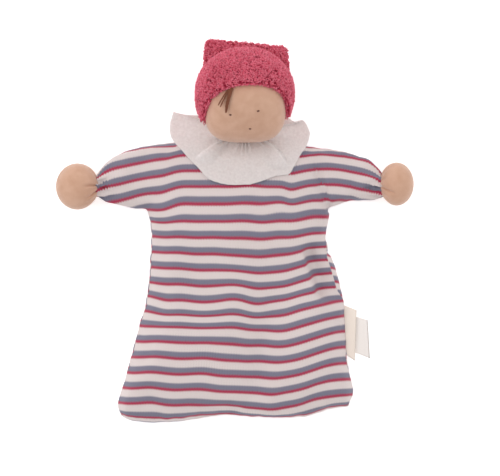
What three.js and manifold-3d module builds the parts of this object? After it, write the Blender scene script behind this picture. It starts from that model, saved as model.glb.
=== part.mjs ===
// A cloth doll comforter lying on its back: a lightly stuffed jersey bag with sleeves cut in one,
// ball hands, a wool head in a terry bag hat, a gathered terry collar and two woven labels.
// Millimetres. +X to the viewer's right, +Y towards the hat, +Z up from the table.
// The origin is on the table under the middle of the body's back.

import * as THREE from 'three';
import { mergeVertices } from 'three/addons/utils/BufferGeometryUtils.js';
import Module from 'manifold-3d';

const wasm = await Module();
wasm.setup();

// Cloth and clearances
const JERSEY = 1.2; // striped and skin jersey with its seam allowance
const TERRY = 2.4; // gathered collar cloth
const FIT = 0.3; // gap left between neighbouring pieces
const FLAT = 0.5; // depth of the flat where a stuffed form lies on the table

// Body bag
const SEAM_HEIGHT = 5; // side seam above the table
const CROWN = 13.5; // front panel above the seam
const CROWN_RISE = 25; // distance from the seam over which the panel rises
const NECK_SEAM = 67.5; // top edge of the bag, from the origin
const NECK_SEAM_HALF = 12;
const UNDERARM = 12; // top of the side seams, from the origin
const WAIST_LEFT = 58;
const WAIST_RIGHT = 56;
const HEM_LEFT = 79.5;
const HEM_RIGHT = 74;
const HEM_DROP_LEFT = 122.5;
const HEM_DROP_RIGHT = 114;
const HEM_BULGE = 2.5;
const HEM_CORNER = 7;
const FLARE_LEFT = 2.2; // exponents of the side seams' flare from waist to hem
const FLARE_RIGHT = 0.8;
// Soft swells and hollows of the front panel: place, half widths across and along the body, and height
const SWELLS = [
  [-3, -50, 14, 26, 2.4],
  [-31, -38, 17, 24, -1.8],
  [-42, -84, 18, 24, 1.8],
  [23, -28, 18, 26, -2],
  [38, -74, 18, 26, 2],
  [7, -95, 18, 18, -1.8],
  [-12, 4, 24, 18, 1.4],
];

// Sleeves and hands
const SHOULDER_X = 47;
const SHOULDER_Y = 36.5;
const SLEEVE_RADIUS = 20.5;
const SLEEVE_LENGTH = 46; // shoulder pivot to wrist pivot, along X
const SLEEVE_DROP = 7; // wrist pivot below the shoulder pivot, along Y
const SLEEVE_ROUND = 2.4; // exponents of the sleeve's taper to the wrist
const SLEEVE_TAPER = 0.7;
const WRIST_RADIUS = 6.3;
const SWING_UP = 30; // degrees
const SWING_DOWN = 25;
const SWING_SPARE = 5; // degrees of body cut away past a raised sleeve
const SWING_REACH = 33; // how far from the pivot the body is cut away over a raised sleeve
const HAND_RADIUS = 14.3;
const HAND_REACH = 13; // wrist pivot to the middle of the hand
const HAND_STUB = 5.2; // tied end of the hand, inside the sleeve
const HAND_MOUTH = 2.5; // raw opening at the stub's end
const HAND_TIE = 75; // degrees from the hand's axis to where its skin leaves the stub
const HAND_SHOULDER = 9.6; // radius where the gathered skin meets the ball
const WRIST_THREAD = 0.35;
const WRIST_SWING = 20; // degrees to each side

// Head and neck
const HEAD_X = 3.2;
const HEAD_Y = 87.6;
const HEAD_TILT = 42; // degrees that the crown is raised from the table
const HEAD_HALF_WIDTH = 26.7;
const HEAD_HALF_HEIGHT = 29;
const HEAD_HALF_DEPTH = 27;
const HEAD_ROUND = 2.3; // exponent of the head's profile
const NECK_BALL = 8;
const NECK_STUB = 7.4;
const NECK_SINK = 4; // how far the neck's ball stands into the head's opening
const NECK_GRIP = 5; // neck inside the head, past its ball
const NECK_THREAD = 0.4;
const NOD_BACK = 10; // degrees
const NOD_FORWARD = 25;

// Hat
const HAT_WALL = 5;
const HAT_SEAM = -1; // side seam in front of the head's middle
const HAT_TILT = -10; // degrees that the hat's seam rises towards its corners, which droop
const HAT_CORNER_HALF = 27.5;
const HAT_CORNER_RISE = 36; // top edge of the bag above the head's middle
const HAT_CORNER_DEPTH = 28; // length of the flat corner bag
const HAT_CORNER_THICK = 5;
const HAT_BEVEL = 1.5;
const HAT_SLOPE = -4; // degrees that the bag's top edge leans
const BRIM_LEAN = 40; // degrees between the brim and the table, seen from the side
const BRIM_OFFSET = 12; // brim in front of the head's middle
const HAT_NAPE = 11; // lower edge at the back, below the head's middle

// Face, on the photograph's places from the head's middle
const EYE_LENGTH = 1.7;
const EYE_HEIGHT = 1.1;
const EYE_THICK = 0.7;
const EYE_LEFT = [-9.3, -10.9];
const EYE_RIGHT = [8.5, -8.5];
const MOUTH = [3.3, -20.1];
const HAIR_RADIUS = 0.5;
const HAIR_ROOT = [-7.9, 13]; // under the hat
const HAIR_PITCH = 1.6;
const HAIR_TIPS = [[-15.8, -4.9], [-13.2, -7.6], [-10.2, -9.3], [-6.4, -6.6]];

// Collar: reach from the neck at angles in degrees from the front
const COLLAR_INNER = 9.5;
const COLLAR_LEFT = [
  [0, 32], [39, 37], [60, 38.5], [79, 43], [94, 48.5], [110, 46.5], [125, 28], [148, 14], [180, 12.5],
];
const COLLAR_RIGHT = [
  [0, 32], [34, 33], [50, 38], [71, 39], [90, 41.5], [104, 40.5], [118, 28], [148, 14], [180, 12.5],
];
const COLLAR_FLARE = 12; // height of the flares beside the head
const COLLAR_FLARE_FROM = 100; // degrees from the front where the flares start to fall
const COLLAR_FLARE_TO = 140;
const COLLAR_FOLDS = 11;
const COLLAR_FOLD = 0.9;
const COLLAR_MARGIN = 6.5; // how far past a sleeve's round end the collar stays level

// Labels in the right side seam
const LABEL_TOP = -46;
const LABEL_LENGTH = 36;
const LABEL_THICK = 0.6;
const LABEL_DROOP = 13; // degrees
const SIDE_LABEL_REACH = 9.5;
const SIDE_LABEL_SLANT = 7;
const CARE_LABEL_REACH = 16;
const CARE_LABEL_SLANT = 6;

// Facets
const BODY_COLUMNS = 16;
const BODY_ROWS = 14;
const SLEEVE_COLUMNS = 10;
const SLEEVE_ROWS = 8;
const SLEEVE_CROWD = 1.4; // exponent that crowds the sleeve's rows towards the wrist
const COLLAR_COLUMNS = 44;
const COLLAR_ROWS = 5;
const SEAM_STEPS = 40;
const ROUND_SIDES = 18;
const PIVOT_SIDES = 36;
const HAND_SIDES = 14;
const THREAD_SIDES = 5;
const STITCH_SIDES = 10;
const STITCH_STEPS = 6;
const HAIR_SIDES = 6;
const HAIR_STEPS = 10;
const PROFILE_STEPS = 9;
const STUB_STEPS = 6;
const SWEEP_STEPS = 4;
const HALVINGS = 40; // of the height range when a place on the face is looked for
const WELD = 1e-3;
const SPAN = 4 * (HEM_DROP_LEFT + HEAD_Y); // past the whole doll, for cutting blocks

const { degToRad, lerp, clamp, smoothstep } = THREE.MathUtils;

// Closed triangles as a solid, turned to face outwards
function solidOf(geometry) {
  const bare = geometry.clone();
  bare.deleteAttribute('normal');
  bare.deleteAttribute('uv');
  const welded = mergeVertices(bare, WELD);
  const places = welded.attributes.position.array;
  const corners = welded.index.array;
  const at = (i) => new THREE.Vector3().fromArray(places, 3 * i);
  const faces = [];
  let volume = 0;
  for (let i = 0; i < corners.length; i += 3) {
    const [a, b, c] = corners.slice(i, i + 3);
    if (a === b || b === c || c === a) continue;
    faces.push([a, b, c]);
    volume += at(a).dot(at(b).cross(at(c)));
  }
  const outward = volume < 0 ? faces.map(([a, b, c]) => [a, c, b]) : faces;
  return new wasm.Manifold(new wasm.Mesh({
    numProp: 3,
    vertProperties: new Float32Array(places),
    triVerts: new Uint32Array(outward.flat()),
  }));
}

function geometryOf(solid) {
  const mesh = solid.getMesh();
  const geometry = new THREE.BufferGeometry();
  geometry.setAttribute('position', new THREE.BufferAttribute(mesh.vertProperties.slice(), 3));
  geometry.setIndex(new THREE.BufferAttribute(mesh.triVerts.slice(), 1));
  geometry.computeVertexNormals();
  return geometry;
}

// A solid between two surfaces over the same grid. Each surface gives a point for u and v from 0 to 1.
function between(columns, rows, front, back) {
  const points = [];
  for (const surface of [front, back]) {
    for (let j = 0; j <= rows; j += 1) {
      for (let i = 0; i <= columns; i += 1) points.push(surface(i / columns, j / rows));
    }
  }
  const index = [];
  const layer = (columns + 1) * (rows + 1);
  const at = (i, j, side) => side * layer + j * (columns + 1) + i;
  const quad = (a, b, c, d) => index.push(a, b, c, a, c, d);
  for (let j = 0; j < rows; j += 1) {
    for (let i = 0; i < columns; i += 1) {
      quad(at(i, j, 0), at(i + 1, j, 0), at(i + 1, j + 1, 0), at(i, j + 1, 0));
      quad(at(i, j + 1, 1), at(i + 1, j + 1, 1), at(i + 1, j, 1), at(i, j, 1));
    }
    quad(at(0, j, 0), at(0, j + 1, 0), at(0, j + 1, 1), at(0, j, 1));
    quad(at(columns, j, 1), at(columns, j + 1, 1), at(columns, j + 1, 0), at(columns, j, 0));
  }
  for (let i = 0; i < columns; i += 1) {
    quad(at(i, 0, 1), at(i + 1, 0, 1), at(i + 1, 0, 0), at(i, 0, 0));
    quad(at(i, rows, 0), at(i + 1, rows, 0), at(i + 1, rows, 1), at(i, rows, 1));
  }
  const geometry = new THREE.BufferGeometry().setFromPoints(points);
  geometry.setIndex(index);
  return geometry;
}

// A block that fills everything on the normal's side of a plane
function beyond(point, normal) {
  const block = new THREE.BoxGeometry(SPAN, SPAN, SPAN);
  block.translate(0, 0, SPAN / 2);
  block.applyQuaternion(new THREE.Quaternion().setFromUnitVectors(new THREE.Vector3(0, 0, 1), normal));
  block.translate(point.x, point.y, point.z);
  return solidOf(block);
}

// A body of revolution about its own Y axis, from pairs of radius and height
function turned(profile, sides = ROUND_SIDES) {
  return new THREE.LatheGeometry(profile.map(([radius, height]) => new THREE.Vector2(radius, height)), sides);
}

// An upright prism through the whole height of the body, from points on the table
function upright(outline) {
  const shape = new THREE.Shape(outline.map(([x, y]) => new THREE.Vector2(x, y)));
  const prism = new THREE.ExtrudeGeometry(shape, { depth: SPAN, bevelEnabled: false, steps: 1 });
  prism.translate(0, 0, -SPAN / 2);
  return solidOf(prism);
}

// Points of an arc, with angles in degrees
function arc(x, y, radius, from, to, steps) {
  const points = [];
  for (let k = 0; k <= steps; k += 1) {
    const angle = degToRad(lerp(from, to, k / steps));
    points.push([x + radius * Math.cos(angle), y + radius * Math.sin(angle)]);
  }
  return points;
}

// Corners of a regular polygon with a corner on the radius
const polygon = (x, y, radius, corners) => arc(x, y, radius, 0, 360 - 360 / corners, corners - 1);

// Radius of a polygon's corners whose flats lie on the given radius
const clearOf = (radius, corners) => radius / Math.cos(Math.PI / corners);

// Steps that crowd towards both ends, where a sewn edge rounds over
const crowded = (t) => 0.5 - 0.5 * Math.cos(Math.PI * t);

// Outline of the sewn bag
const sides = {
  left: { sign: -1, waist: WAIST_LEFT, hem: HEM_LEFT, drop: HEM_DROP_LEFT, flare: FLARE_LEFT },
  right: { sign: 1, waist: WAIST_RIGHT, hem: HEM_RIGHT, drop: HEM_DROP_RIGHT, flare: FLARE_RIGHT },
};
const WRIST_HEIGHT = HAND_RADIUS - FLAT;
const BODY_TOP = SEAM_HEIGHT + CROWN;
const SLEEVE_SPAN = Math.hypot(SLEEVE_LENGTH, SLEEVE_DROP);

// Side seam's distance from the middle line at a height on the body
function sideReach(side, y) {
  const corner = HEM_CORNER - (y + side.drop);
  if (corner > 0) return side.hem - HEM_CORNER + Math.sqrt(Math.max(HEM_CORNER ** 2 - corner ** 2, 0));
  const along = clamp((UNDERARM - y) / (UNDERARM + side.drop - HEM_CORNER), 0, 1);
  return side.waist + (side.hem - side.waist) * along ** side.flare;
}

const hemLine = (u) => -lerp(HEM_DROP_LEFT, HEM_DROP_RIGHT, u) - HEM_BULGE * Math.sin(Math.PI * u);

// Shoulder edge's height on the body, level at the neck and falling to the sleeve
function topLine(x) {
  const along = clamp((Math.abs(x) - NECK_SEAM_HALF) / (SHOULDER_X - NECK_SEAM_HALF), 0, 1);
  return lerp(NECK_SEAM, SHOULDER_Y + SLEEVE_RADIUS, along);
}

// Sleeve's half width from the shoulder, 0, to the wrist, 1
function sleeveHalf(t) {
  const along = clamp(t, 0, 1);
  const swell = (1 - along ** SLEEVE_ROUND) ** SLEEVE_TAPER;
  return WRIST_RADIUS + (SLEEVE_RADIUS - WRIST_RADIUS) * swell;
}

// A point across the sleeve: t from shoulder to wrist, offset up the body
function sleevePoint(side, t, offset) {
  const x = SHOULDER_X + t * SLEEVE_LENGTH - (offset * SLEEVE_DROP) / SLEEVE_SPAN;
  const y = SHOULDER_Y - t * SLEEVE_DROP + (offset * SLEEVE_LENGTH) / SLEEVE_SPAN;
  return [side.sign * x, y];
}

const sleeveEdge = (side, t, edge, grow = 0) => sleevePoint(side, t, edge * (sleeveHalf(t) + grow));
const underarmAt = (side) => (side.waist - SHOULDER_X) / SLEEVE_LENGTH;

function sampled(from, to, steps, point) {
  return Array.from({ length: steps + 1 }, (_, k) => point(lerp(from, to, k / steps)));
}

// The two sewn lines: over the shoulders, and from wrist to wrist round the hem
const shoulderSeam = (side) => sampled(0, 1, SEAM_STEPS, (t) => sleeveEdge(side, t, 1));
const sideSeam = (side) => [
  ...sampled(1, underarmAt(side), SEAM_STEPS, (t) => sleeveEdge(side, t, -1)),
  ...sampled(UNDERARM, -side.drop, 3 * SEAM_STEPS, (y) => [side.sign * sideReach(side, y), y]),
];
const hemSeam = sampled(0, 1, SEAM_STEPS, (u) => [
  lerp(-HEM_LEFT + HEM_CORNER, HEM_RIGHT - HEM_CORNER, u),
  hemLine(u),
]);
const sewnLines = [
  [
    ...shoulderSeam(sides.left).reverse(),
    [-NECK_SEAM_HALF, NECK_SEAM],
    [NECK_SEAM_HALF, NECK_SEAM],
    ...shoulderSeam(sides.right),
  ],
  [...sideSeam(sides.left), ...hemSeam, ...sideSeam(sides.right).reverse()],
];

// Distance from a place on the body to the nearest sewn edge
function seamDistance(x, y) {
  let least = Infinity;
  for (const line of sewnLines) {
    for (let k = 1; k < line.length; k += 1) {
      const [ax, ay] = line[k - 1];
      const [bx, by] = line[k];
      const length = (bx - ax) ** 2 + (by - ay) ** 2 || 1;
      const along = clamp(((x - ax) * (bx - ax) + (y - ay) * (by - ay)) / length, 0, 1);
      least = Math.min(least, Math.hypot(x - ax - along * (bx - ax), y - ay - along * (by - ay)));
    }
  }
  return least;
}

// Stuffed cloth rises from the seam as a quarter round and then lies level
function rise(distance, reach) {
  const rest = 1 - clamp(distance / reach, 0, 1);
  return Math.sqrt(1 - rest * rest);
}

// How far the filling swells the front panel at a place on the body
function swell(x, y) {
  return SWELLS.reduce((sum, [middleX, middleY, across, along, height]) => {
    const away = ((x - middleX) / across) ** 2 + ((y - middleY) / along) ** 2;
    return sum + height * Math.exp(-away);
  }, 0);
}

// Front and back heights of the bag, inset for its inside. t is above 0 on a sleeve only.
function bagHeights(x, y, distance, t, inset) {
  const round = clamp(t, 0, 1) ** 2;
  const seam = lerp(SEAM_HEIGHT, WRIST_HEIGHT, round);
  const lift = rise(distance, lerp(CROWN_RISE, WRIST_RADIUS, round) - inset);
  const front = seam + lift * (lerp(CROWN, WRIST_RADIUS, round) + swell(x, y) - inset);
  const back = seam - lift * (lerp(SEAM_HEIGHT + FLAT, WRIST_RADIUS, round) - inset);
  return { front, back: Math.max(back, inset) };
}

const EDGE_SHARE = 0.4; // least rise of an inset bag, as a share of the length from its own edge

// A closed bag over places that give x, y, t, whether they are sewn, and a length from the bag's edge
function bag(columns, rows, place, inset) {
  const height = (u, v) => {
    const { x, y, t, sewn, edge } = place(u, v);
    const distance = sewn ? 0 : Math.max(seamDistance(x, y) - inset, EDGE_SHARE * edge);
    return { x, y, ...bagHeights(x, y, distance, t, inset) };
  };
  const front = (u, v) => {
    const here = height(u, v);
    return new THREE.Vector3(here.x, here.y, here.front);
  };
  const back = (u, v) => {
    const here = height(u, v);
    return new THREE.Vector3(here.x, here.y, here.back);
  };
  return solidOf(between(columns, rows, front, back));
}

// Body without its sleeves, still square at the shoulders
function torsoBag(inset) {
  const place = (u, v) => {
    const across = crowded(u);
    const up = crowded(v);
    const reach = (side) => sideReach(side, lerp(-side.drop, NECK_SEAM, up)) - inset;
    const x = lerp(-reach(sides.left), reach(sides.right), across);
    const y = lerp(hemLine(across) + inset, topLine(x) - inset, up);
    const sewn = v === 0 || v === 1 || ((u === 0 || u === 1) && y < UNDERARM);
    const edge = reach(sides.left) * Math.min(across, 1 - across) * Math.min(up, 1 - up);
    return { x, y, t: 0, sewn, edge };
  };
  return bag(BODY_COLUMNS, BODY_ROWS, place, inset);
}

// One sleeve from inside the body to its wrist, run past both ends by over
function sleeveBag(side, inset, over) {
  const from = -SLEEVE_RADIUS / SLEEVE_LENGTH - over;
  const to = 1 + over;
  const place = (u, v) => {
    const t = lerp(from, to, 1 - (1 - v) ** SLEEVE_CROWD);
    const across = 2 * crowded(u) - 1;
    const reach = sleeveHalf(t) - inset;
    const [x, y] = sleevePoint(side, t, across * reach);
    const sewn = (u === 1 && t >= 0) || (u === 0 && t >= underarmAt(side));
    return { x, y, t, sewn, edge: (1 - Math.abs(across)) * reach };
  };
  return bag(SLEEVE_COLUMNS, SLEEVE_ROWS, place, inset);
}

// The round end of a sleeve, and everything outwards of it
function sleeveReach(side, radius) {
  const root = upright(polygon(side.sign * SHOULDER_X, SHOULDER_Y, radius, PIVOT_SIDES));
  return root.add(beyond(
    new THREE.Vector3(side.sign * SHOULDER_X, SHOULDER_Y, 0),
    new THREE.Vector3(side.sign, 0, 0),
  ));
}

// Room that the body leaves for a sleeve's round end and its swing
function sleeveRoom(side) {
  const x = side.sign * SHOULDER_X;
  const round = clearOf(SLEEVE_RADIUS + FIT, PIVOT_SIDES);
  let room = upright(polygon(x, SHOULDER_Y, round, PIVOT_SIDES));
  for (let k = 0; k <= SWEEP_STEPS; k += 1) {
    const swing = degToRad(-side.sign * lerp(SWING_DOWN, -SWING_UP, k / SWEEP_STEPS));
    const turn = ([px, py]) => [
      x + (px - x) * Math.cos(swing) - (py - SHOULDER_Y) * Math.sin(swing),
      SHOULDER_Y + (px - x) * Math.sin(swing) + (py - SHOULDER_Y) * Math.cos(swing),
    ];
    const lower = sampled(0, 1, PROFILE_STEPS, (t) => sleeveEdge(side, t, -1, FIT));
    const upper = sampled(1, 0, PROFILE_STEPS, (t) => sleeveEdge(side, t, 1, FIT));
    room = room.add(upright([...lower, ...upper].map(turn)));
  }
  const clear = 90 + SWING_UP + SWING_SPARE;
  const ahead = side.sign < 0 ? 180 : 0;
  const wedge = arc(x, SHOULDER_Y, SWING_REACH, ahead, ahead + side.sign * clear, PROFILE_STEPS);
  return room.add(upright([[x, SHOULDER_Y], ...wedge]));
}

// The head's own frame: X across, Y from the neck to the crown, Z out of the face
const tilt = degToRad(HEAD_TILT);
const hatHalf = (half) => half + FIT + HAT_WALL;
const HEAD_HEIGHT = Math.hypot(
  hatHalf(HEAD_HALF_HEIGHT) * Math.sin(tilt),
  hatHalf(HEAD_HALF_DEPTH) * Math.cos(tilt),
) - FLAT;
const NECK_REACH = HEAD_HALF_HEIGHT + NECK_BALL - NECK_SINK;
const neckAxis = new THREE.Vector3(0, Math.cos(tilt), Math.sin(tilt));
const headMiddle = new THREE.Vector3(HEAD_X, HEAD_Y, HEAD_HEIGHT);
const neckPivot = headMiddle.clone().addScaledVector(neckAxis, -NECK_REACH);
const headFrame = new THREE.Matrix4().makeRotationX(tilt).setPosition(headMiddle);

// Radius of the head's profile at a height from its middle, as a share of the full radius
function headShare(height, half) {
  return Math.max(1 - Math.abs(height / half) ** HEAD_ROUND, 0) ** (1 / HEAD_ROUND);
}

function headForm(grow) {
  const half = HEAD_HALF_HEIGHT + grow;
  const profile = sampled(-90, 90, PROFILE_STEPS, (angle) => {
    const height = half * Math.sin(degToRad(angle));
    return [(HEAD_HALF_WIDTH + grow) * headShare(height, half), height];
  });
  profile[0][0] = 0;
  profile[PROFILE_STEPS][0] = 0;
  const form = turned(profile);
  form.scale(1, 1, (HEAD_HALF_DEPTH + grow) / (HEAD_HALF_WIDTH + grow));
  return form;
}

// A plain round bar on the neck's axis, in the head's frame
function neckBar(radius, from, to) {
  return turned([[0, from], [radius, from], [radius, to], [0, to]]);
}

// Place on the front of the head at an offset from its middle, lifted off the surface
function onFace([dx, dy], lift) {
  const toHead = headFrame.clone().invert();
  const share = (point) => {
    const p = point.clone().applyMatrix4(toHead);
    return Math.hypot(p.x / HEAD_HALF_WIDTH, p.z / HEAD_HALF_DEPTH) - headShare(p.y, HEAD_HALF_HEIGHT);
  };
  const place = new THREE.Vector3(HEAD_X + dx, HEAD_Y + dy, 0);
  let [low, high] = [HEAD_HEIGHT, HEAD_HEIGHT + 2 * HEAD_HALF_HEIGHT];
  for (let k = 0; k < HALVINGS; k += 1) {
    place.z = (low + high) / 2;
    if (share(place) < 0) low = place.z;
    else high = place.z;
  }
  const step = 0.01;
  const slope = (axis) => share(place.clone().addScaledVector(axis, step)) - share(place);
  const normal = new THREE.Vector3(
    slope(new THREE.Vector3(1, 0, 0)),
    slope(new THREE.Vector3(0, 1, 0)),
    slope(new THREE.Vector3(0, 0, 1)),
  ).normalize();
  return { point: place.addScaledVector(normal, lift), normal };
}

// The thread tied round the neck, in the groove between the head and the body
const THREAD_RING = NECK_BALL + FIT + NECK_THREAD;
const THREAD_OUTER = THREAD_RING + NECK_THREAD;
const THREAD_HEIGHT = -HEAD_HALF_HEIGHT - FIT - NECK_THREAD;

// Everything that the head and the neck's thread sweep as they turn and nod
function headSweep() {
  const wide = Math.max(HEAD_HALF_WIDTH, HEAD_HALF_DEPTH);
  const hatTall = hatHalf(HEAD_HALF_HEIGHT);
  const threadFoot = THREAD_HEIGHT - NECK_THREAD - FIT;
  const profile = [[0, threadFoot], [THREAD_OUTER + FIT, threadFoot]];
  const heights = sampled(-HEAD_HALF_HEIGHT - FIT, hatTall, 2 * PROFILE_STEPS, (height) => height);
  for (const height of heights) {
    const bare = (wide + FIT) * headShare(height, HEAD_HALF_HEIGHT + FIT);
    const hatted = (hatHalf(wide) + FIT) * headShare(height, hatTall);
    profile.push([Math.max(height < -HAT_NAPE - FIT ? bare : hatted, THREAD_OUTER + FIT), height]);
  }
  profile.push([0, hatTall]);
  let sweep = null;
  for (let k = 0; k <= SWEEP_STEPS; k += 1) {
    const nod = degToRad(lerp(-NOD_BACK, NOD_FORWARD, k / SWEEP_STEPS));
    const form = turned(profile).applyMatrix4(headFrame);
    form.translate(-neckPivot.x, -neckPivot.y, -neckPivot.z);
    form.rotateX(nod);
    form.translate(neckPivot.x, neckPivot.y, neckPivot.z);
    sweep = sweep ? sweep.add(solidOf(form)) : solidOf(form);
  }
  return sweep;
}

// Materials
const cloth = (color, roughness = 0.95) => new THREE.MeshStandardMaterial({ color, roughness, metalness: 0 });
const stripedJersey = cloth(0xc9c2c6);
const skinJersey = cloth(0xd3a98c);
const carded = cloth(0xf1ead9, 1);
const pinkTerry = cloth(0xc9506f, 1);
const whiteTerry = cloth(0xeee8e6, 1);
const sewingThread = cloth(0xe8ddd0, 0.8);
const darkThread = cloth(0x3b2a26, 0.8);
const brownYarn = cloth(0x6f4a36, 1);
const creamTape = cloth(0xeee6da, 0.85);
const whiteTape = cloth(0xf3f1ee, 0.85);

// The scene graph: one group for each piece of the doll that moves by itself
const doll = new THREE.Group();

function movingGroup(parent, place, turn) {
  const group = new THREE.Group();
  const matrix = new THREE.Matrix4().makeRotationFromEuler(turn).setPosition(place);
  matrix.premultiply(parent.matrixWorld.clone().invert());
  matrix.decompose(group.position, group.quaternion, group.scale);
  parent.add(group);
  group.updateMatrixWorld(true);
  return group;
}

// Adds a solid that is given in the doll's frame to a group, in the group's own frame
function addPiece(group, name, solid, material) {
  const geometry = geometryOf(solid);
  geometry.applyMatrix4(group.matrixWorld.clone().invert());
  const mesh = new THREE.Mesh(geometry, material.clone());
  mesh.name = name;
  group.add(mesh);
}

const upward = new THREE.Vector3(0, 0, 1);
const downward = new THREE.Vector3(0, 0, -1);
const table = beyond(new THREE.Vector3(), downward);
const level = new THREE.Euler();

// Body: front and back panels sewn at the sides, shoulders and hem, over a thin wool filling
const torso = movingGroup(doll, new THREE.Vector3(), level);
const pocketRadius = clearOf(NECK_BALL + FIT, ROUND_SIDES);
const neckPocket = new THREE.SphereGeometry(pocketRadius, ROUND_SIDES, PROFILE_STEPS);
neckPocket.translate(neckPivot.x, neckPivot.y, neckPivot.z);
const headRoom = headSweep();
const torsoRoom = sleeveRoom(sides.left).add(sleeveRoom(sides.right)).add(solidOf(neckPocket)).add(headRoom);
const torsoSkin = torsoBag(0).subtract(torsoBag(JERSEY)).subtract(torsoRoom);
const seamGap = (sign) => new THREE.Vector3(0, 0, SEAM_HEIGHT + (sign * FIT) / 2);
addPiece(torso, 'body_front', torsoSkin.intersect(beyond(seamGap(1), upward)), stripedJersey);
addPiece(torso, 'body_back', torsoSkin.intersect(beyond(seamGap(-1), downward)), stripedJersey);
addPiece(torso, 'body_wool', torsoBag(JERSEY + FIT).subtract(torsoRoom), carded);

// Sleeves and hands
const CUP = HAND_STUB + 2 * WRIST_THREAD + 2 * FIT;
const SLEEVE_OVER = 0.05; // share of the sleeve that its inside runs past its ends

// Profile of a hand from its open stub to its tip, about the wrist pivot
function handProfile(inset) {
  const stub = HAND_STUB - inset;
  const ball = HAND_RADIUS - inset;
  const mouth = Math.asin(Math.min(HAND_MOUTH / HAND_STUB, 1));
  const leave = degToRad(HAND_TIE);
  const points = sampled(Math.PI - mouth, leave, STUB_STEPS, (a) => [stub * Math.sin(a), stub * Math.cos(a)]);
  const join = Math.PI - Math.asin(Math.min(HAND_SHOULDER / HAND_RADIUS, 1));
  const round = sampled(join, 0, PROFILE_STEPS, (a) => [ball * Math.sin(a), HAND_REACH + ball * Math.cos(a)]);
  round[PROFILE_STEPS][0] = 0;
  return [...points, ...round];
}

// A hand as one filled form, with its stub closed
function filledHand(inset) {
  const profile = handProfile(inset);
  return turned([[0, profile[0][1]], ...profile], HAND_SIDES);
}

// Room that a sleeve leaves for the tied wrist and the swing of its hand
function handRoom(side, wrist) {
  const cup = new THREE.SphereGeometry(CUP, ROUND_SIDES, PROFILE_STEPS);
  cup.translate(wrist.x, wrist.y, wrist.z);
  let room = solidOf(cup);
  for (let k = 0; k <= SWEEP_STEPS; k += 1) {
    const swing = degToRad(lerp(-WRIST_SWING, WRIST_SWING, k / SWEEP_STEPS));
    const hand = filledHand(-FIT);
    hand.rotateZ(swing - (side.sign * Math.PI) / 2);
    hand.translate(wrist.x, wrist.y, wrist.z);
    room = room.add(solidOf(hand));
  }
  return room;
}

for (const [name, side] of Object.entries(sides)) {
  const shoulder = new THREE.Vector3(side.sign * SHOULDER_X, SHOULDER_Y, SEAM_HEIGHT);
  const wrist = new THREE.Vector3(
    side.sign * (SHOULDER_X + SLEEVE_LENGTH),
    SHOULDER_Y - SLEEVE_DROP,
    WRIST_HEIGHT,
  );
  const arm = movingGroup(doll, shoulder, level);
  const reach = sleeveReach(side, SLEEVE_RADIUS);
  const room = handRoom(side, wrist);
  const sleeve = sleeveBag(side, 0, 0).subtract(sleeveBag(side, JERSEY, SLEEVE_OVER));
  addPiece(arm, `sleeve_${name}`, sleeve.intersect(reach).subtract(room), stripedJersey);
  const filling = sleeveBag(side, JERSEY + FIT, SLEEVE_OVER).intersect(reach).subtract(room);
  addPiece(arm, `arm_wool_${name}`, filling, carded);

  const hand = movingGroup(arm, wrist, level);
  const toWrist = new THREE.Matrix4().makeRotationZ((-side.sign * Math.PI) / 2).setPosition(wrist);
  const outside = handProfile(0);
  const inside = handProfile(JERSEY);
  const skin = turned([...outside, ...inside.reverse(), outside[0]], HAND_SIDES).applyMatrix4(toWrist);
  addPiece(hand, `hand_skin_${name}`, solidOf(skin).subtract(table), skinJersey);
  const wool = filledHand(JERSEY + FIT).applyMatrix4(toWrist);
  addPiece(hand, `hand_wool_${name}`, solidOf(wool), carded);
  const ring = HAND_STUB + FIT + WRIST_THREAD;
  const thread = new THREE.TorusGeometry(ring, WRIST_THREAD, THREAD_SIDES, HAND_SIDES);
  thread.rotateY(Math.PI / 2);
  thread.translate(wrist.x, wrist.y, wrist.z);
  addPiece(hand, `wrist_thread_${name}`, solidOf(thread), sewingThread);
}

// Neck: the tied-off end of the head's skin tube, sunk in the body and in the head
const headTurn = new THREE.Euler(tilt, 0, 0);
const neck = movingGroup(doll, neckPivot, headTurn);
const neckTop = NECK_BALL + NECK_GRIP - NECK_REACH;
const ball = new THREE.SphereGeometry(NECK_BALL, ROUND_SIDES, PROFILE_STEPS);
ball.translate(0, -NECK_REACH, 0);
const neckTube = solidOf(ball.applyMatrix4(headFrame)).add(
  solidOf(neckBar(NECK_STUB, -NECK_REACH, neckTop).applyMatrix4(headFrame)),
);
addPiece(neck, 'neck_tube', neckTube, skinJersey);

// Head: a jersey skin over a firm wool ball, open at the neck
const head = movingGroup(neck, headMiddle, headTurn);
const inHead = (geometry) => solidOf(geometry.applyMatrix4(headFrame));
const neckHole = inHead(neckBar(NECK_BALL + FIT, -2 * HEAD_HALF_HEIGHT, neckTop + FIT));
const headSkin = inHead(headForm(0)).subtract(inHead(headForm(-JERSEY))).subtract(neckHole);
addPiece(head, 'head_skin', headSkin, skinJersey);
addPiece(head, 'head_wool', inHead(headForm(-JERSEY - FIT)).subtract(neckHole), carded);

const neckThread = new THREE.TorusGeometry(THREAD_RING, NECK_THREAD, THREAD_SIDES, ROUND_SIDES);
neckThread.rotateX(Math.PI / 2);
neckThread.translate(0, THREAD_HEIGHT, 0);
addPiece(neck, 'neck_thread', inHead(neckThread), sewingThread);

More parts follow.
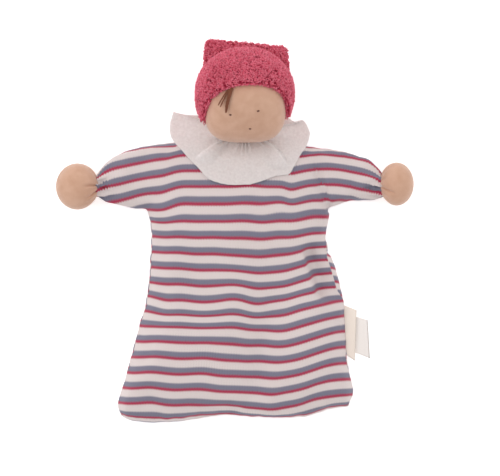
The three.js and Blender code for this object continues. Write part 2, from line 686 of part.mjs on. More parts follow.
// Hat: two terry panels sewn in a bag with square corners, pulled over the back of the head
const brimAngle = degToRad(90 - BRIM_LEAN);
const brimNormal = new THREE.Vector3(0, Math.sin(brimAngle), -Math.cos(brimAngle));
const brimPoint = (gap) => headMiddle.clone().addScaledVector(brimNormal, -BRIM_OFFSET - gap);
const behindBrim = (gap) => beyond(brimPoint(gap), brimNormal);
const napePoint = headMiddle.clone().addScaledVector(neckAxis, -HAT_NAPE);
const half = HAT_CORNER_HALF - HAT_BEVEL;
const cornerShape = new THREE.Shape([
  new THREE.Vector2(-half, HAT_CORNER_RISE - HAT_CORNER_DEPTH),
  new THREE.Vector2(half, HAT_CORNER_RISE - HAT_CORNER_DEPTH),
  new THREE.Vector2(half, HAT_CORNER_RISE - HAT_BEVEL),
  new THREE.Vector2(-half, HAT_CORNER_RISE - HAT_BEVEL),
]);
const cornerBag = new THREE.ExtrudeGeometry(cornerShape, {
  depth: HAT_CORNER_THICK - 2 * HAT_BEVEL,
  bevelSize: HAT_BEVEL,
  bevelThickness: HAT_BEVEL,
  bevelSegments: 2,
});
cornerBag.translate(0, 0, HAT_BEVEL - HAT_CORNER_THICK / 2 + HAT_SEAM);
cornerBag.rotateZ(degToRad(HAT_SLOPE));
const hatTurn = new THREE.Euler(degToRad(HAT_TILT), 0, 0);
const hatFrame = new THREE.Matrix4().makeRotationFromEuler(hatTurn).setPosition(headMiddle);
const hat = inHead(headForm(FIT + HAT_WALL))
  .add(solidOf(cornerBag.applyMatrix4(hatFrame)))
  .subtract(inHead(headForm(FIT)))
  .intersect(behindBrim(0))
  .intersect(beyond(napePoint, neckAxis))
  .subtract(table);
const hatAxis = upward.clone().applyEuler(hatTurn);
const hatSeam = (sign) => headMiddle.clone().addScaledVector(hatAxis, HAT_SEAM + (sign * FIT) / 2);
addPiece(head, 'hat_front', hat.intersect(beyond(hatSeam(1), hatAxis)), pinkTerry);
addPiece(head, 'hat_back', hat.intersect(beyond(hatSeam(-1), hatAxis.clone().negate())), pinkTerry);

// Face: three small stitches and a fringe of yarn from under the brim
function stitch(place) {
  const form = new THREE.SphereGeometry(1, STITCH_SIDES, STITCH_STEPS);
  form.scale(EYE_LENGTH / 2, EYE_HEIGHT / 2, EYE_THICK / 2);
  const { point, normal } = onFace(place, FIT + EYE_THICK / 2);
  form.applyQuaternion(new THREE.Quaternion().setFromUnitVectors(upward, normal));
  form.translate(point.x, point.y, point.z);
  return solidOf(form);
}

addPiece(head, 'eye_left', stitch(EYE_LEFT), darkThread);
addPiece(head, 'eye_right', stitch(EYE_RIGHT), darkThread);
addPiece(head, 'mouth', stitch(MOUTH), darkThread);

const hairCorners = polygon(0, 0, HAIR_RADIUS, HAIR_SIDES);
const hairSection = new THREE.Shape(hairCorners.map(([x, y]) => new THREE.Vector2(x, y)));
HAIR_TIPS.forEach((tip, k) => {
  const root = [HAIR_ROOT[0] + (k - 1) * HAIR_PITCH, HAIR_ROOT[1]];
  const path = sampled(0, 1, HAIR_STEPS, (t) => {
    const place = [lerp(root[0], tip[0], t * t), lerp(root[1], tip[1], t)];
    return onFace(place, FIT + HAIR_RADIUS).point;
  });
  const strand = new THREE.ExtrudeGeometry(hairSection, {
    steps: HAIR_STEPS,
    extrudePath: new THREE.CatmullRomCurve3(path),
  });
  addPiece(head, `hair_strand_${k + 1}`, solidOf(strand).subtract(behindBrim(FIT)), brownYarn);
});

// Collar: a gathered ring that lies on the shoulders and flares beside the head
function collarReach(angle) {
  const points = angle < 0 ? COLLAR_LEFT : COLLAR_RIGHT;
  const turn = Math.abs(angle);
  const last = points.findIndex(([limit]) => limit >= turn);
  if (last === 0) return points[0][1];
  const [[a, ra], [b, rb]] = [points[last - 1], points[last]];
  return lerp(ra, rb, smoothstep(turn, a, b));
}

// Height that the collar has to clear: the body, and a sleeve's round end at any swing
function shoulderTop(x, y) {
  for (const side of Object.values(sides)) {
    const near = Math.hypot(x - side.sign * SHOULDER_X, y - SHOULDER_Y);
    if (near < SLEEVE_RADIUS + COLLAR_MARGIN) return BODY_TOP;
  }
  if (y > topLine(x)) return 0;
  return bagHeights(x, y, seamDistance(x, y), 0, 0).front;
}

function collarSurface(u, v) {
  const angle = lerp(-180, 180, u);
  const turn = degToRad(angle);
  const reach = lerp(COLLAR_INNER, collarReach(angle), v);
  const x = neckPivot.x + reach * Math.sin(turn);
  const y = neckPivot.y - reach * Math.cos(turn);
  const forward = 1 - smoothstep(Math.abs(angle), COLLAR_FLARE_FROM, COLLAR_FLARE_TO);
  const flare = COLLAR_FLARE * forward;
  const fold = COLLAR_FOLD * forward * v * (1 - Math.cos(COLLAR_FOLDS * turn));
  return new THREE.Vector3(x, y, Math.max(shoulderTop(x, y), flare) + 2 * FIT + fold);
}

const collarTop = (u, v) => collarSurface(u, v).setZ(collarSurface(u, v).z + TERRY);
const collar = solidOf(between(COLLAR_COLUMNS, COLLAR_ROWS, collarTop, collarSurface)).subtract(headRoom);
addPiece(torso, 'collar', collar, whiteTerry);

// Labels: two woven tapes caught in the right side seam, drooping to the table
const labelTop = new THREE.Vector3(sideReach(sides.right, LABEL_TOP), LABEL_TOP, SEAM_HEIGHT);
const labelEnd = LABEL_TOP - LABEL_LENGTH;
const seamRun = sideReach(sides.right, labelEnd) - labelTop.x;
const labelTurn = new THREE.Euler(0, degToRad(LABEL_DROOP), Math.atan2(seamRun, LABEL_LENGTH), 'ZYX');
const labels = movingGroup(doll, labelTop, labelTurn);

function tape(reach, slant, from, to, height) {
  const start = 2 * FIT;
  const shape = new THREE.Shape([
    new THREE.Vector2(start, -to),
    new THREE.Vector2(reach, -to - slant),
    new THREE.Vector2(reach, -from - slant),
    new THREE.Vector2(start, -from),
  ]);
  const form = new THREE.ExtrudeGeometry(shape, { depth: LABEL_THICK, bevelEnabled: false, steps: 1 });
  form.translate(0, 0, height);
  return solidOf(form.applyMatrix4(labels.matrixWorld));
}

const sideLabel = tape(SIDE_LABEL_REACH, SIDE_LABEL_SLANT, 0, LABEL_LENGTH - SIDE_LABEL_SLANT, FIT / 2);
addPiece(labels, 'side_label', sideLabel, creamTape);
const careStart = CARE_LABEL_SLANT;
const careEnd = LABEL_LENGTH - CARE_LABEL_SLANT;
const careLabel = tape(CARE_LABEL_REACH, CARE_LABEL_SLANT, careStart, careEnd, -FIT / 2 - LABEL_THICK);
addPiece(labels, 'care_label', careLabel, whiteTape);

export default doll;
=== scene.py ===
import math
import random

import bmesh
import bpy
import numpy as np
from mathutils import Matrix, Vector, noise


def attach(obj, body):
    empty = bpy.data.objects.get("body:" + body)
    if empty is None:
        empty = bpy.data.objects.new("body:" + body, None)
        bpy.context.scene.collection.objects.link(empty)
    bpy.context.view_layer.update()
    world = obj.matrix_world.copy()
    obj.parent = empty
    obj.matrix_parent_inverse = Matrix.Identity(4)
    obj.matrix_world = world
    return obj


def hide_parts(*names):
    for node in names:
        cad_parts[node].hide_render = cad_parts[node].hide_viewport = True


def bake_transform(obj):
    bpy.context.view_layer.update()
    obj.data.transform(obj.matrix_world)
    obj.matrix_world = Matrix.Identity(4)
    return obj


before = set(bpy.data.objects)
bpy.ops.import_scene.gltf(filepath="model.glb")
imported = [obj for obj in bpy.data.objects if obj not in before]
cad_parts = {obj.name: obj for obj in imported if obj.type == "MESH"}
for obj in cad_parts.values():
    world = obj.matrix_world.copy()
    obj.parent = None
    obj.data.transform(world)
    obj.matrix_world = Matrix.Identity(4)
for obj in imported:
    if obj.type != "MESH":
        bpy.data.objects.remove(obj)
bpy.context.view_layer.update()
bpy.ops.object.select_all(action="DESELECT")

# Studio: the doll lies on a plain pale table and the camera looks straight down on it.
# A white surround and two broad side panels light it softly, so that shadows stay faint.
MM = 0.001
PIXEL = 0.648 * MM
PHOTO_WIDTH = 500
VIEW_MIDDLE = (6.5 * MM, -3.2 * MM)
CAMERA_HEIGHT = 2.5
SHARP_HEIGHT = 15 * MM
TABLE_SIZE = 6.0
SURROUND = 0.7
PANELS = [((-1.1, 0.5, 1.1), 9.0), ((1.0, 0.6, 1.2), 6.0)]
PANEL_SIZE = 1.3


def linear(red, green, blue):
    """A screen colour from 0 to 255 as the linear colour that a shader takes."""
    def channel(value):
        share = value / 255
        return share / 12.92 if share <= 0.04045 else ((share + 0.055) / 1.055) ** 2.4
    return (channel(red), channel(green), channel(blue), 1.0)


def new_material(name, roughness=0.9, sheen=0.0, sheen_roughness=0.5):
    material = bpy.data.materials.new(name)
    material.use_nodes = True
    shader = material.node_tree.nodes["Principled BSDF"]
    shader.inputs["Roughness"].default_value = roughness
    shader.inputs["Specular IOR Level"].default_value = 0.25
    shader.inputs["Sheen Weight"].default_value = sheen
    shader.inputs["Sheen Roughness"].default_value = sheen_roughness
    return material, material.node_tree, shader


camera = bpy.data.objects.new("camera", bpy.data.cameras.new("camera"))
bpy.context.scene.collection.objects.link(camera)
camera.location = (*VIEW_MIDDLE, CAMERA_HEIGHT)
camera.data.lens = camera.data.sensor_width * (CAMERA_HEIGHT - SHARP_HEIGHT) / (PHOTO_WIDTH * PIXEL)
bpy.context.scene.camera = camera
bpy.context.scene.view_settings.view_transform = "Standard"

bpy.ops.mesh.primitive_plane_add(size=TABLE_SIZE, location=(0, 0, 0))
table = bpy.context.object
table.name = "table"
table_finish, _, table_shader = new_material("pale_table", roughness=0.7)
table_shader.inputs["Base Color"].default_value = (0.97, 0.97, 0.97, 1)
table_shader.inputs["Emission Color"].default_value = (1, 1, 1, 1)
table_shader.inputs["Emission Strength"].default_value = 0.45
table.data.materials.append(table_finish)

world = bpy.data.worlds.new("surround")
bpy.context.scene.world = world
world.use_nodes = True
world.node_tree.nodes["Background"].inputs["Color"].default_value = (1, 1, 1, 1)
world.node_tree.nodes["Background"].inputs["Strength"].default_value = SURROUND
for place, power in PANELS:
    panel = bpy.data.objects.new("panel", bpy.data.lights.new("panel", "AREA"))
    bpy.context.scene.collection.objects.link(panel)
    panel.location = place
    panel.rotation_euler = Vector(place).to_track_quat("Z", "Y").to_euler()
    panel.data.size = PANEL_SIZE
    panel.data.energy = power

# Body: two T-shaped panels of striped cotton jersey, cut in one with the sleeves, sewn together
# round the shoulders, sides and hem, turned and thinly filled with wool. Millimetres on the table.
LEFT_SIDE = [(-77.6, -118.6), (-79.7, -111), (-76.6, -101), (-73.2, -90), (-69.3, -74.5), (-65.2, -59),
             (-60.9, -43.4), (-58.5, -20), (-57.7, -4.5), (-58.4, 6), (-60.6, 15.6)]
RIGHT_SIDE = [(70.5, -112.6), (73.9, -103.5), (72.4, -96), (69.6, -82), (68.5, -66), (67.2, -43.4),
              (63.2, -27.9), (58.2, -12.3), (55.6, -3), (57.2, 6), (58.2, 15.6)]
HEM = [(-77.6, -118.6), (-72.6, -121.3), (-62, -122.9), (-48, -123), (-36.9, -122.3), (-22, -119.8),
       (-8.4, -118.3), (6, -119.2), (20.7, -119.9), (40.8, -119.6), (50, -117.3), (58, -114.6),
       (70.5, -112.6)]
SHOULDERS = [(-42, 59.3), (-26, 63.5), (-13, 67), (-5, 68), (11, 68), (19, 66.5), (30, 62), (44, 56.3)]
LEFT_SLEEVE_TOP = [(-42, 59.3), (-58.3, 57.2), (-71.3, 54.2), (-82.3, 48.6), (-90, 40.6), (-93, 36.2)]
LEFT_SLEEVE_FOOT = [(-60.6, 15.6), (-68, 16.2), (-77.8, 17.8), (-86.2, 20.9), (-90.5, 23), (-93, 24.2)]
RIGHT_SLEEVE_TOP = [(44, 56.3), (62.9, 53.8), (77.8, 49.9), (84.9, 46), (90.5, 39.5), (93, 35.6)]
RIGHT_SLEEVE_FOOT = [(58.2, 15.6), (64, 18.6), (72, 20.8), (81, 21.1), (88, 22.8), (93, 24.2)]
TORSO_COLUMNS = 48
TORSO_ROWS = 44      # hem to underarm
SLEEVE_ROWS = 16     # underarm to shoulder
SLEEVE_COLUMNS = 14  # underarm to wrist
SEAM_HEIGHT = 5.0
CROWN = 13.5
CROWN_REACH = 25.0
WRIST_HEIGHT = 13.8
WRIST_RADIUS = 6.0
JERSEY = 0.9 * MM
# Where the filling swells or leaves the front panel: place, half widths across and along, height
SWELLS = [(-3, -50, 14, 26, 2.4), (-31, -38, 17, 24, -1.8), (-42, -84, 18, 24, 1.8), (23, -28, 18, 26, -2.0),
          (38, -74, 18, 26, 2.0), (7, -95, 18, 18, -1.8), (-12, 4, 24, 18, 1.4)]


def ease(low, high, value):
    share = min(max((value - low) / (high - low), 0.0), 1.0)
    return share * share * (3 - 2 * share)


def mix(a, b, share):
    return a + (b - a) * share


def bell(value, middle, half):
    return math.exp(-((value - middle) / half) ** 2)


def through(points, share):
    """A point on a smooth line through the given points, at a share of its length."""
    places = [Vector((*point, 0)) for point in points]
    reach = [0.0]
    for near, far in zip(places, places[1:]):
        reach.append(reach[-1] + (far - near).length)
    wanted = min(max(share, 0.0), 1.0) * reach[-1]
    k = next(k for k in range(1, len(reach)) if wanted <= reach[k] or k == len(reach) - 1)
    span = reach[k] - reach[k - 1]

    def slope(i):
        low, high = max(i - 1, 0), min(i + 1, len(places) - 1)
        return (places[high] - places[low]) / (reach[high] - reach[low])

    t = (wanted - reach[k - 1]) / span
    start, end = places[k - 1], places[k]
    bend = (2 * t ** 3 - 3 * t ** 2 + 1) * start + (t ** 3 - 2 * t ** 2 + t) * span * slope(k - 1)
    return bend + (3 * t ** 2 - 2 * t ** 3) * end + (t ** 3 - t ** 2) * span * slope(k)


def patch(u, w, left, right, foot, top):
    """A place inside four edge lines that meet at the corners, each a function of its share."""
    across = mix(left(w), right(w), u) + mix(foot(u), top(u), w)
    corners = mix(mix(left(0), right(0), u), mix(left(1), right(1), u), w)
    return across - corners


def line_through(points):
    """The smooth line through the given points, as a function of the share along it."""
    def line(share):
        return through(points, share)
    return line


ALL_ROWS = TORSO_ROWS + SLEEVE_ROWS


def torso_edge(side, shoulder):
    """A side seam and the straight armhole above it, as a function of the share from hem to shoulder."""
    def edge(w):
        row = w * ALL_ROWS
        if row <= TORSO_ROWS:
            return through(side, row / TORSO_ROWS)
        underarm = Vector((*side[-1], 0))
        return mix(underarm, Vector((*shoulder, 0)), (row - TORSO_ROWS) / SLEEVE_ROWS)
    return edge


left_edge = torso_edge(LEFT_SIDE, SHOULDERS[0])
right_edge = torso_edge(RIGHT_SIDE, SHOULDERS[-1])
hem_edge = line_through(HEM)
shoulder_edge = line_through(SHOULDERS)

# Each grid place is a column and row: columns below 0 are the left sleeve, past the torso the right one
flat = {}
for row in range(ALL_ROWS + 1):
    for column in range(TORSO_COLUMNS + 1):
        flat[column, row] = patch(column / TORSO_COLUMNS, row / ALL_ROWS,
                                  left_edge, right_edge, hem_edge, shoulder_edge)


def lay_sleeve(sign, torso_side, foot, top):
    """Adds a sleeve's grid places, from the armhole on the torso's edge out to the wrist."""
    foot_line = line_through(foot)
    top_line = line_through(top)

    def armhole(share):
        return torso_side((TORSO_ROWS + share * SLEEVE_ROWS) / ALL_ROWS)

    def wrist(share):
        return mix(Vector((*foot[-1], 0)), Vector((*top[-1], 0)), share)

    for k in range(1, SLEEVE_COLUMNS + 1):
        out = k / SLEEVE_COLUMNS
        column = -k if sign < 0 else TORSO_COLUMNS + k
        for j in range(SLEEVE_ROWS + 1):
            share = j / SLEEVE_ROWS
            rounded = 0.5 + 0.5 * math.sin(math.pi * (share - 0.5))
            up = mix(share, rounded, ease(0, 1, out))
            flat[column, TORSO_ROWS + j] = patch(out, up, armhole, wrist, foot_line, top_line)


lay_sleeve(-1, left_edge, LEFT_SLEEVE_FOOT, LEFT_SLEEVE_TOP)
lay_sleeve(1, right_edge, RIGHT_SLEEVE_FOOT, RIGHT_SLEEVE_TOP)


def out_along_sleeve(column):
    """How far along a sleeve a column lies, from 0 on the torso to 1 at the wrist."""
    return max(-column, column - TORSO_COLUMNS, 0) / SLEEVE_COLUMNS


def is_sewn(column, row):
    """Places on the seam: hem, sides, underarms and shoulders, but not the open wrists."""
    if row in (0, ALL_ROWS):
        return True
    if 0 <= column <= TORSO_COLUMNS:
        return column in (0, TORSO_COLUMNS) and row <= TORSO_ROWS
    return row == TORSO_ROWS


seam_places = np.array([flat[key][:2] for key in flat if is_sewn(*key)])


def bag_heights(column, row):
    """Heights of the front and back panels over a grid place, in millimetres."""
    place = np.array(flat[column, row][:2])
    out = out_along_sleeve(column) ** 2
    distance = 0.0 if is_sewn(column, row) else float(np.min(np.hypot(*(seam_places - place).T)))
    rest = 1 - min(distance / mix(CROWN_REACH, WRIST_RADIUS, out), 1.0)
    lift = math.sqrt(1 - rest * rest)
    seam = mix(SEAM_HEIGHT, WRIST_HEIGHT, out)
    swell = sum(high * bell(place[0], x, wide) * bell(place[1], y, long)
                for x, y, wide, long, high in SWELLS)
    front = seam + lift * (mix(CROWN, WRIST_RADIUS, out) + swell)
    back = seam - lift * mix(SEAM_HEIGHT, WRIST_RADIUS, out)
    return front, back


bag_mesh = bmesh.new()
front_point = {}
back_point = {}
for key, place in flat.items():
    front, back = bag_heights(*key)
    front_point[key] = bag_mesh.verts.new((place.x * MM, place.y * MM, front * MM))
    if is_sewn(*key):
        back_point[key] = front_point[key]
    else:
        back_point[key] = bag_mesh.verts.new((place.x * MM, place.y * MM, back * MM))

# Stripes are knitted in. Each place's pattern is its height up the panel, with the length
# that the middle column gains over the filling, less the lift of the stripes there.
FRONT, BACK, LEFT, RIGHT = range(4)
REFERENCE_ROW = 32
BACK_SHIFT = 4.0  # the back panel's stripes don't meet the front's
pattern = bag_mesh.loops.layers.uv.new("pattern")
piece_mark = bag_mesh.faces.layers.int.new("piece")


def stripe_rise(x, y):
    """How far a place's stripes are lifted, in millimetres. Each term is one pull or fold of the cloth."""
    climb = ease(22, 70, x) * mix(2.6, 7.8, ease(8, -30, y))
    sag = -2.4 * bell(x, 10, 30) * ease(6, -22, y)
    ridge = 2.8 * bell(x, -3, 11) * bell(y, -48, 20)
    armholes = 1.5 * ease(30, 50, x) * ease(8, 20, y) - 3.8 * ease(-36, -56, x) * ease(4, 16, y)
    chest = -1.8 * ease(26, 34, x) * ease(12, 20, y) - 0.8 * bell(x, 33, 6) * bell(y, 28, 14)
    flank = -ease(6, 26, x) * mix(2.4, 1.0, ease(26, 50, x)) * ease(16, 8, y) * ease(-48, -30, y)
    belly = -2.0 * ease(28, 10, x) * ease(-66, -46, x) * ease(28, 8, y) * ease(-58, -48, y)
    skirt = 1.9 * ease(26, 8, x) * ease(-54, -64, y)
    left_edge_lift = 1.6 * ease(-46, -62, x) * ease(-30, -44, y) * ease(-64, -54, y)
    waves = noise.noise(Vector((x / 16, y / 45, 4.0)))
    return climb + sag + ridge + armholes + chest + flank + belly + skirt + left_edge_lift + waves


def cloth_rows(points):
    """Places of the rows up the cloth, along the body's middle column, in millimetres."""
    column = TORSO_COLUMNS // 2
    steps = [(points[column, row + 1].co - points[column, row].co).yz.length / MM
             for row in range(ALL_ROWS)]
    start = flat[column, REFERENCE_ROW].y - sum(steps[:REFERENCE_ROW])
    return [start + sum(steps[:row]) for row in range(ALL_ROWS + 1)]


LEFT_FALL = 2.7      # the sleeves are turned a little forwards on their filling
RIGHT_FALL = 2.2
WRIST_GATHER = 0.35  # share of the sleeve's stripes that are drawn into the wrist


def sleeve_middle(column):
    return (flat[column, TORSO_ROWS].y + flat[column, ALL_ROWS].y) / 2


grain = {}
for points, side in ((front_point, FRONT), (back_point, BACK)):
    rows = cloth_rows(points)
    for column, row in flat:
        root = min(max(column, 0), TORSO_COLUMNS)
        place = flat[root, row]
        over_edges = rows[row] - flat[TORSO_COLUMNS // 2, row].y
        rise = stripe_rise(place.x, place.y) + BACK_SHIFT * side
        up = place.y
        out = out_along_sleeve(column)
        if out > 0:
            along_sleeve = flat[column, row].y - sleeve_middle(column) + sleeve_middle(root)
            up = mix(along_sleeve, place.y, WRIST_GATHER * ease(0.5, 1, out))
            rise -= (LEFT_FALL if column < 0 else RIGHT_FALL) * ease(0, 0.6, out)
        grain[side, column, row] = (up + over_edges - rise) * MM

# Wales run up the cloth, so their places are its own lengths out from the middle column
wale_place = {}
for points, side in ((front_point, FRONT), (back_point, BACK)):
    for row in range(ALL_ROWS + 1):
        for sign in (-1, 1):
            column, length = TORSO_COLUMNS // 2, 0.0
            wale_place[side, column, row] = 0.0
            while (column + sign, row) in flat:
                length += (points[column + sign, row].co - points[column, row].co).xz.length
                column += sign
                wale_place[side, column, row] = sign * length

for points, side, order in ((front_point, FRONT, 1), (back_point, BACK, -1)):
    for column, row in flat:
        corners = [(column, row), (column + 1, row), (column + 1, row + 1), (column, row + 1)][::order]
        if not all(corner in flat for corner in corners):
            continue
        face = bag_mesh.faces.new([points[corner] for corner in corners])
        face[piece_mark] = LEFT if column < 0 else RIGHT if column >= TORSO_COLUMNS else side
        for loop, corner in zip(face.loops, corners):
            loop[pattern].uv = (wale_place[side, corner[0], corner[1]], grain[side, corner[0], corner[1]])

bag_mesh.verts.index_update()
sewn = {front_point[key].index for key in flat if is_sewn(*key)}
held = sewn | {points[key].index for points in (front_point, back_point) for key in flat
               if out_along_sleeve(key[0]) == 1}


def object_from(mesh, name):
    """An object at the origin from a bmesh, which is then freed."""
    data = bpy.data.meshes.new(name)
    mesh.to_mesh(data)
    mesh.free()
    made = bpy.data.objects.new(name, data)
    bpy.context.scene.collection.objects.link(made)
    made.data.shade_smooth()
    return made


def change(obj, kind, **settings):
    """Adds a modifier with its settings and applies it."""
    modifier = obj.modifiers.new(kind, kind)
    for name, value in settings.items():
        setattr(modifier, name, value)
    bpy.context.view_layer.objects.active = obj
    bpy.ops.object.modifier_apply(modifier=modifier.name)


bag = object_from(bag_mesh, "jersey_bag")

# The filling pushes slack cloth out between the seams, which settles it into soft waves
CLOTH_FRAMES = 22
SLACK = 0.012
bag.vertex_groups.new(name="held").add(list(held), 1.0, "REPLACE")
bpy.context.view_layer.objects.active = bag
cloth = bag.modifiers.new("Cloth", "CLOTH")
cloth.settings.quality = 6
cloth.settings.mass = 0.2
cloth.settings.tension_stiffness = 15
cloth.settings.compression_stiffness = 15
cloth.settings.shear_stiffness = 5
cloth.settings.bending_stiffness = 0.1
cloth.settings.use_pressure = True
cloth.settings.uniform_pressure_force = 0.25
cloth.settings.vertex_group_mass = "held"
cloth.settings.shrink_min = -SLACK
cloth.settings.effector_weights.gravity = 0
cloth.collision_settings.use_collision = False
for moment in range(1, CLOTH_FRAMES + 1):
    bpy.context.scene.frame_set(moment)
bpy.ops.object.modifier_apply(modifier="Cloth")
bag.vertex_groups.clear()
crease = bag.data.attributes.new("crease_edge", "FLOAT", "EDGE")
for edge in bag.data.edges:
    crease.data[edge.index].value = 1.0 if sewn.issuperset(edge.vertices) else 0.0
change(bag, "SUBSURF", levels=1, render_levels=1)

# Seams pucker the cloth, the wrists are drawn in pleats and the underarms crease
PUCKER = 0.55
PUCKER_NEAR, PUCKER_FAR = 2, 9
PUCKER_SIZE = 5
WRIST_MIDDLE = 29.5
WRIST_PLEATS = 9
PLEAT_DEPTH = 0.9
PLEAT_START, PLEAT_END = 72, 90
PLEAT_TURN = 0.7
# Creases of the front: where each starts and ends, its depth and half width
CREASES = [((47, 48), (59, 12), 2.4, 2.4),
           ((71, 47), (71.5, 19), 0.9, 2.0),
           ((-92.5, 32), (-82, 36.5), 2.2, 1.5),
           ((-92.5, 26.5), (-83, 31.5), 1.6, 1.5),
           ((92.5, 27.2), (80, 30.6), 2.2, 1.5)]
# The right seam turns up above the labels, so that the back panel shows beside it
ROLL = math.radians(80)
ROLL_MIDDLE, ROLL_LIFT = 4.5, 1  # its axis, in from the seam and above it
ROLL_FOOT = (-48, -36)
ROLL_HEAD = (-4, -16)
ROLL_NEAR, ROLL_FAR = 5 * MM, 19 * MM
right_y = [y for _, y in RIGHT_SIDE]
right_x = [x for x, _ in RIGHT_SIDE]
for vertex in bag.data.vertices:
    x, y, z = vertex.co / MM
    near = float(np.min(np.hypot(*(seam_places - (x, y)).T)))
    rolled = ease(*ROLL_FOOT, y) * ease(*ROLL_HEAD, y) if x > 0 else 0.0
    ripple = noise.noise(Vector((x / PUCKER_SIZE, y / PUCKER_SIZE, 1.0)))
    move = PUCKER * (1 - rolled) * (1 - ease(PUCKER_NEAR, PUCKER_FAR, near)) * ripple
    turn = math.atan2(z - WRIST_HEIGHT, y - WRIST_MIDDLE)
    move += PLEAT_DEPTH * ease(PLEAT_START, PLEAT_END, abs(x)) * math.cos(WRIST_PLEATS * turn + PLEAT_TURN)
    for start, end, depth, half in CREASES:
        line = Vector(end) - Vector(start)
        apart = Vector((x, y)) - Vector(start)
        share = apart.dot(line) / line.length_squared
        if 0 < share < 1 and z > SEAM_HEIGHT:
            aside = (apart - line * share).length
            move -= depth * bell(aside, 0, half) * math.sin(math.pi * share) ** 0.5
    vertex.co += vertex.normal * move * MM
    axis = Vector((np.interp(y, right_y, right_x) - ROLL_MIDDLE, SEAM_HEIGHT + ROLL_LIFT)) * MM
    apart = vertex.co.xz - axis
    turn = ROLL * rolled * (1 - ease(ROLL_NEAR, ROLL_FAR, apart.length))
    if turn > 0:
        vertex.co.xz = axis + Matrix.Rotation(turn, 2) @ apart
    vertex.co.z = max(vertex.co.z, 0.0)


def add_node(tree, kind, inputs=None, **settings):
    """A shader node with its settings, and its sockets set to values or joined to other sockets."""
    made = tree.nodes.new(kind)
    for name, value in settings.items():
        setattr(made, name, value)
    for socket, value in (inputs or {}).items():
        if isinstance(value, bpy.types.NodeSocket):
            tree.links.new(value, made.inputs[socket])
        else:
            made.inputs[socket].default_value = value
    return made


def calculate(tree, operation, first, second=0.0):
    return add_node(tree, "ShaderNodeMath", {0: first, 1: second}, operation=operation).outputs[0]


def ramp(tree, factor, stops):
    """A colour that runs through the given stops, each a position and a colour."""
    made = add_node(tree, "ShaderNodeValToRGB", {0: factor})
    elements = made.color_ramp.elements
    elements[0].position, elements[0].color = stops[0]
    elements[1].position, elements[1].color = stops[-1]
    for position, colour in stops[1:-1]:
        elements.new(position).color = colour
    return made.outputs[0]


KNIT_DEPTH = 0.1 * MM


def knit_bump(tree, shader, wale, course, strength):
    """Small stitches in columns and rows, as a bump. Returns the cloth's coordinates and their zigzag."""
    coords = add_node(tree, "ShaderNodeUVMap", uv_map="pattern").outputs[0]
    axes = add_node(tree, "ShaderNodeSeparateXYZ", {0: coords}).outputs
    zigzag = calculate(tree, "PINGPONG", axes[0], wale / 2)
    ribs = calculate(tree, "SINE", calculate(tree, "MULTIPLY", axes[0], 2 * math.pi / wale))
    lean = calculate(tree, "ADD", axes[1], zigzag)
    rows = calculate(tree, "SINE", calculate(tree, "MULTIPLY", lean, 2 * math.pi / course))
    height = calculate(tree, "ADD", ribs, rows)
    bump = add_node(tree, "ShaderNodeBump", {"Height": height, "Strength": strength, "Distance": KNIT_DEPTH})
    tree.links.new(bump.outputs[0], shader.inputs["Normal"])
    return axes, zigzag


STRIPE_REPEAT = 10.14 * MM
STRIPE_START = -1.6 * MM     # lower edge of a red stripe
RED_SHARE = 0.19
GREY_SHARE = 0.33
STRIPE_EDGE = 0.03
STRIPE_WHITE = linear(219, 206, 204)
STRIPE_GREY = linear(122, 120, 137)
STRIPE_RED = linear(172, 52, 80)
WALE = 1.7 * MM
COURSE = 1.0 * MM
STITCH_SLOPE = 1.4  # of a stripe's edge within a stitch
striped_jersey, tree, shader = new_material("striped_jersey", sheen=0.15)
axes, zigzag = knit_bump(tree, shader, WALE, COURSE, 0.5)
stitch_edge = calculate(tree, "ADD", axes[1], calculate(tree, "MULTIPLY", zigzag, STITCH_SLOPE))
repeats = calculate(tree, "DIVIDE", calculate(tree, "SUBTRACT", stitch_edge, STRIPE_START), STRIPE_REPEAT)
red_end, grey_end = RED_SHARE, RED_SHARE + GREY_SHARE
stripes = ramp(tree, calculate(tree, "FRACT", repeats),
               [(0.0, STRIPE_WHITE), (STRIPE_EDGE, STRIPE_RED), (red_end, STRIPE_RED),
                (red_end + STRIPE_EDGE, STRIPE_GREY), (grey_end, STRIPE_GREY),
                (grey_end + STRIPE_EDGE, STRIPE_WHITE)])
tree.links.new(stripes, shader.inputs["Base Color"])
bag.data.materials.append(striped_jersey)
CUT_ANGLE = math.radians(60)  # sharper edges than this are cut edges of the cloth


def cut_piece(name, mark):
    """A copy of the bag with only the faces of one piece, given the cloth's thickness."""
    mesh = bmesh.new()
    mesh.from_mesh(bag.data)
    layer = mesh.faces.layers.int["piece"]
    bmesh.ops.delete(mesh, geom=[face for face in mesh.faces if face[layer] != mark], context="FACES")
    piece = object_from(mesh, name)
    piece.data.materials.append(striped_jersey)
    change(piece, "SOLIDIFY", thickness=JERSEY, offset=-1)
    piece.data.set_sharp_from_angle(angle=CUT_ANGLE)
    return piece


jersey_front = cut_piece("jersey_front", FRONT)
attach(jersey_front, "torso")
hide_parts("body_front", "body_wool")
jersey_back = cut_piece("jersey_back", BACK)
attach(jersey_back, "torso")
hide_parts("body_back")
for sign, mark, side, line in ((-1, LEFT, "left", LEFT_SIDE), (1, RIGHT, "right", RIGHT_SIDE)):
    sleeve = cut_piece("jersey_sleeve_" + side, mark)
    underarm = Vector((*line[-1], SEAM_HEIGHT)) * MM
    shoulder = Vector((*SHOULDERS[0 if sign < 0 else -1], SEAM_HEIGHT)) * MM
    middle = (underarm + shoulder) / 2
    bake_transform(sleeve)
    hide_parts("sleeve_" + side, "arm_wool_" + side)

